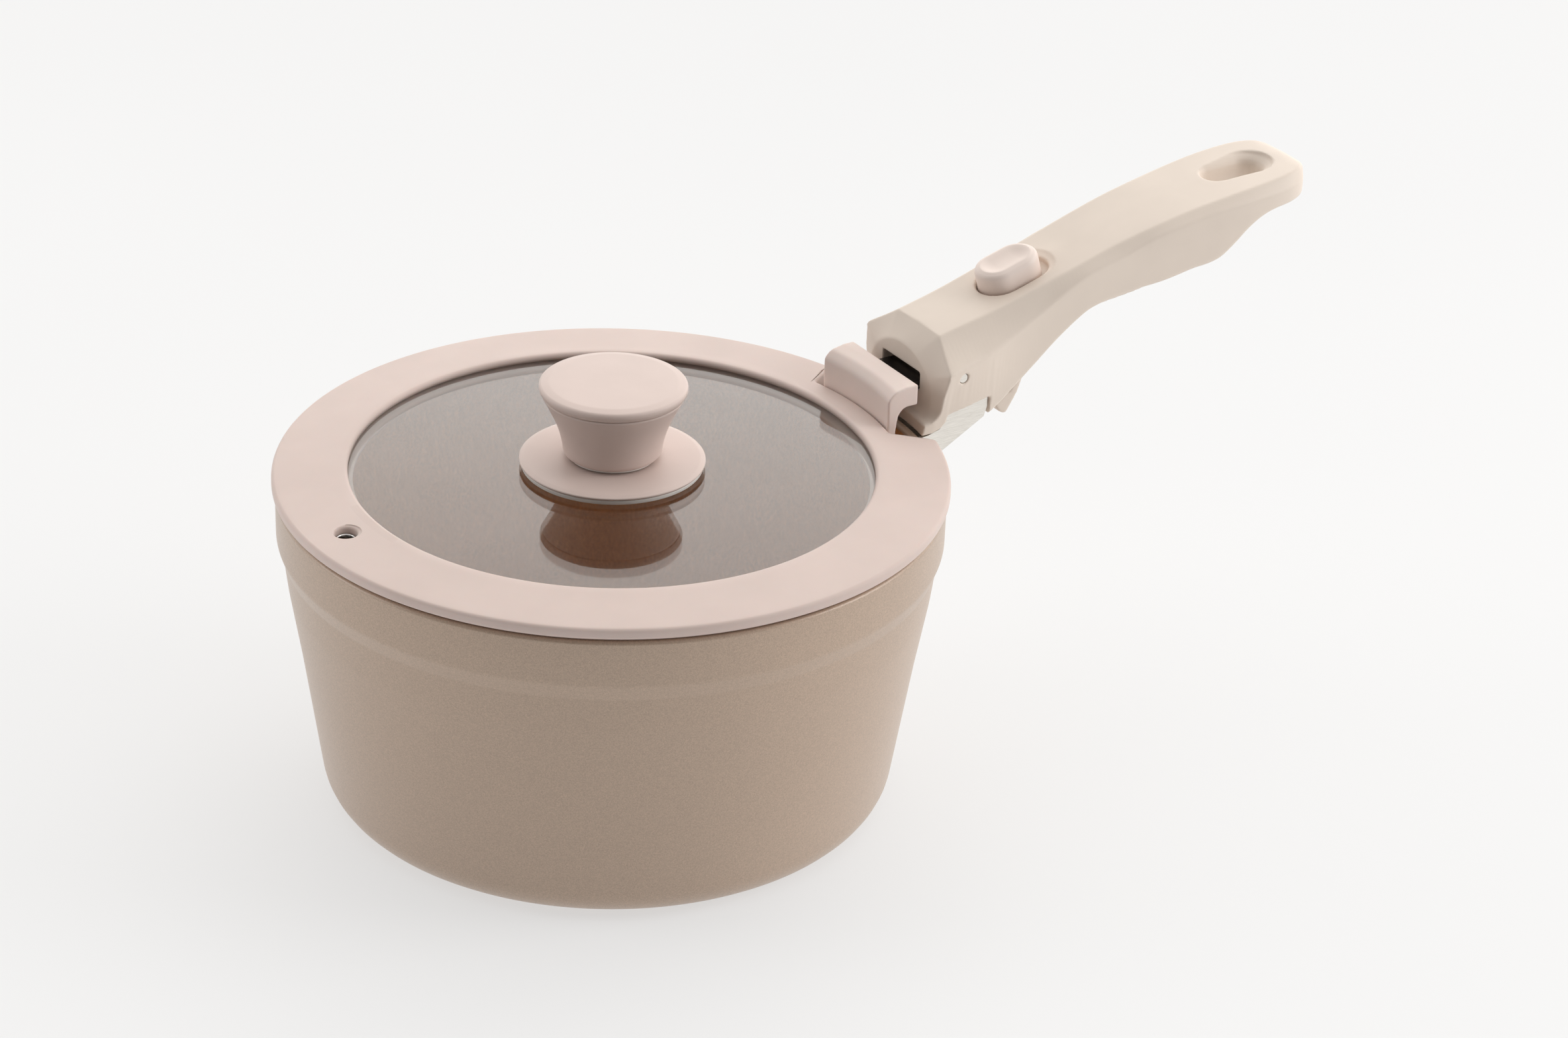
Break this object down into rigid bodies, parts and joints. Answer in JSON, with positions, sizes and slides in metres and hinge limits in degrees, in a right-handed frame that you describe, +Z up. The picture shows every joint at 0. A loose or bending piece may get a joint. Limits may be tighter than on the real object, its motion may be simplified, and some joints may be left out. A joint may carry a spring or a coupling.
{
  "type": "saucepan with glass lid",
  "caption": "Coated saucepan with a silicone-rimmed glass lid and a detachable handle whose squeeze lever draws a clamp jaw against the rim.",
  "frame": {"origin": "centre of the pan's flat underside", "axes": "+X out along the handle, +Z up through the lid's knob"},
  "size_m": [0.3575, 0.206, 0.1622],
  "materials": {
    "pan_coating": "satin taupe enamel with a fine metallic flake",
    "base_steel": "brushed in rings",
    "lid_glass": "clear polished",
    "silicone": "matte pale pink",
    "clear_silicone": "translucent white",
    "knob_pink": "soft-touch pale pink",
    "handle_cream": "fine matte, cream",
    "button_pink": "soft-touch pale pink",
    "black_coat": "gloss black",
    "satin_steel": "satin",
    "bright_steel": "bright"
  },
  "bodies": {
    "pan": {"pan_shell": "pan_coating", "base_disc": "base_steel"},
    "lid": {"lid_glass": "lid_glass", "lid_rim": "silicone", "vent_eyelet": "bright_steel", "knob_gasket": "clear_silicone", "knob_flange": "knob_pink", "knob_spacer": "clear_silicone", "knob_body": "knob_pink", "knob_cap": "knob_pink", "knob_insert": "bright_steel", "seal_washer": "clear_silicone", "screw_washer": "bright_steel", "knob_screw": "bright_steel"},
    "handle": {"handle_housing": "handle_cream", "steel_bracket": "satin_steel", "bracket_screw_near": "bright_steel", "bracket_screw_far": "bright_steel", "guide_pin": "satin_steel", "lever_pivot_pin": "satin_steel", "pawl_pivot_pin": "satin_steel", "slider_spring": "bright_steel", "button_spring": "bright_steel"},
    "jaw": {"slider_hook": "black_coat", "cross_pin": "satin_steel", "jaw_pad": "silicone"},
    "lever": {"squeeze_lever": "handle_cream"},
    "button": {"release_button": "button_pink"},
    "pawl": {"latch_pawl": "satin_steel"}
  },
  "joints": [
    {"name": "lid_lift", "type": "slide", "parent": "pan", "child": "lid", "axis": [0, 0, 1], "range_m": [0, 0.08]},
    {"name": "handle_lift", "type": "slide", "parent": "pan", "child": "handle", "axis": [0, 0, 1], "range_m": [0, 0.08]},
    {"name": "lever_squeeze", "type": "hinge", "parent": "handle", "child": "lever", "pos_m": [0.1885, 0, 0.1395], "axis": [0, 1, 0], "range_deg": [0, 5.5], "stiffness_Nm_per_rad": 0.6, "springref_deg": -11.46},
    {"name": "jaw_slide", "type": "slide", "parent": "handle", "child": "jaw", "axis": [1, 0, 0], "range_m": [0, 0.0054], "deforming": ["slider_spring"]},
    {"name": "button_slide", "type": "slide", "parent": "handle", "child": "button", "axis": [0.9598, 0, 0.2807], "range_m": [0, 0.002], "stiffness_N_per_m": 250, "springref_m": -0.002, "deforming": ["button_spring"]},
    {"name": "pawl_turn", "type": "hinge", "parent": "handle", "child": "pawl", "pos_m": [0.1405, 0, 0.1275], "axis": [0, 1, 0], "range_deg": [0, 23.5]}
  ],
  "couplings": [
    {"joint": "jaw_slide", "follows": "lever_squeeze", "m_per_rad": 0.05521},
    {"joint": "pawl_turn", "follows": "button_slide", "rad_per_m": 200}
  ]
}
